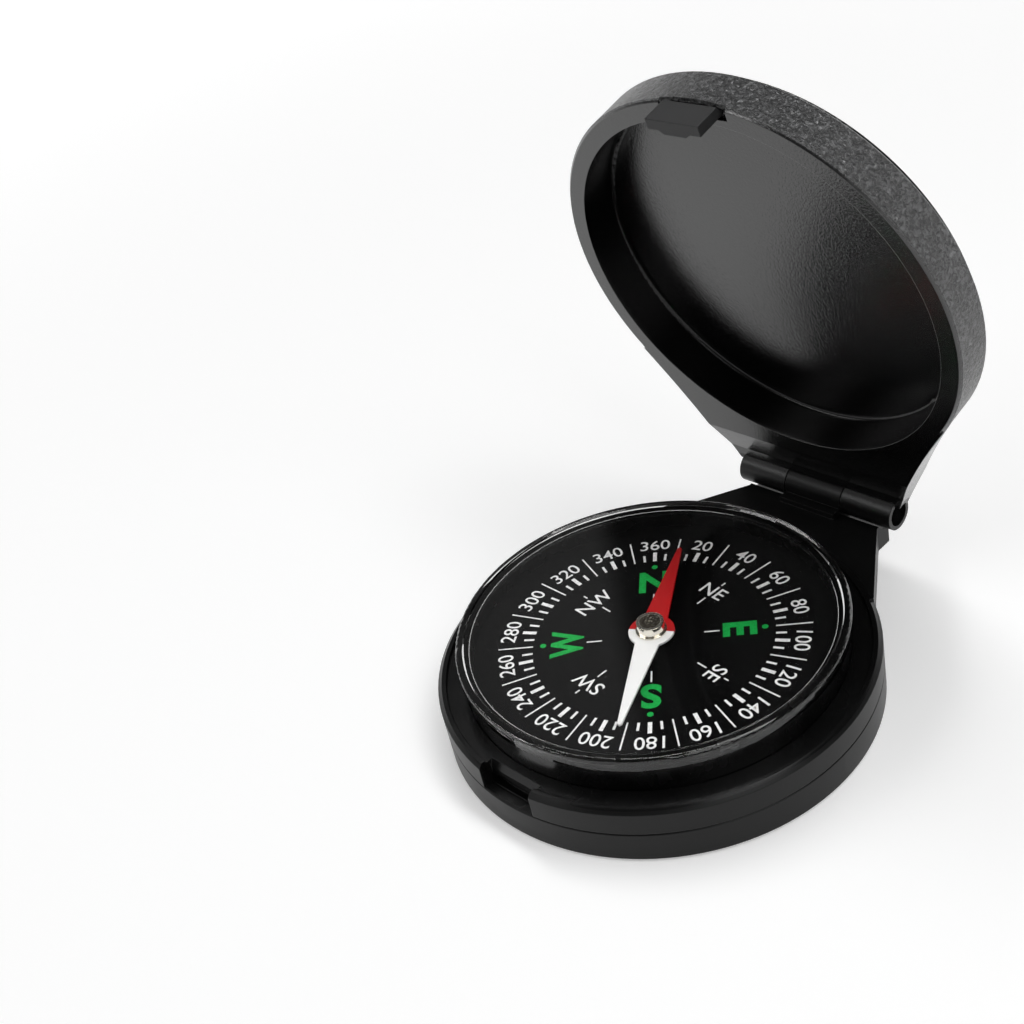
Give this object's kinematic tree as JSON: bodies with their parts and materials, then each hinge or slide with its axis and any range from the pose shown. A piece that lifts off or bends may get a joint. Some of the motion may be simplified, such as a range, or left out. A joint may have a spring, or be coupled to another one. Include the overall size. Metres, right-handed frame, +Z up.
{
  "type": "pocket compass",
  "caption": "Folding pocket compass with a raised crystal capsule, a magnetic needle on a jewelled pivot, a marked dial and a deep hinged lid with a snap latch.",
  "frame": {"origin": "centre of the case's flat underside, on the needle's axis", "axes": "+Z up out of the dial along the needle's axis, +Y towards the lid's hinge, whose axis runs along X, and -Y towards the latch; the lid stands 76.5 degrees open"},
  "size_m": [0.048, 0.0581, 0.0625],
  "materials": {
    "case_black": "satin",
    "lid_black": "leather grain outside, satin inside",
    "capsule_black": "gloss",
    "dial_black": "matt print",
    "crystal_clear": "clear, polished",
    "brass": "turned",
    "steel": "drawn",
    "needle_paint": "satin paint, one half red and one half white",
    "nickel": "nickel plate",
    "jewel": "polished"
  },
  "bodies": {
    "base": {"base_case": "case_black", "bottom_cover": "case_black", "capsule_cup": "capsule_black", "dial_card": "dial_black", "spacer_ring": "capsule_black", "crystal": "crystal_clear", "pivot_post": "brass", "pivot_pin": "steel"},
    "lid": {"lid_shell": "lid_black", "hinge_pin": "steel"},
    "latch": {"latch_tab": "lid_black"},
    "needle": {"needle_blade": "needle_paint", "hub_collar": "nickel", "hub_cap": "nickel", "jewel_bearing": "jewel"}
  },
  "joints": [
    {"name": "lid_hinge", "type": "hinge", "parent": "base", "child": "lid", "pos_m": [0, 0.031, 0.0082], "axis": [-1, 0, 0], "range_deg": [-76.5, 103.5]},
    {"name": "latch_flex", "type": "hinge", "parent": "lid", "child": "latch", "pos_m": [0, 0.01832, 0.06059], "axis": [-1, 0, 0], "range_deg": [-4, 8], "stiffness_Nm_per_rad": 0.02},
    {"name": "needle_spin", "type": "hinge", "parent": "base", "child": "needle", "pos_m": [0, 0, 0.0086], "axis": [0, 0, 1], "continuous": true}
  ]
}
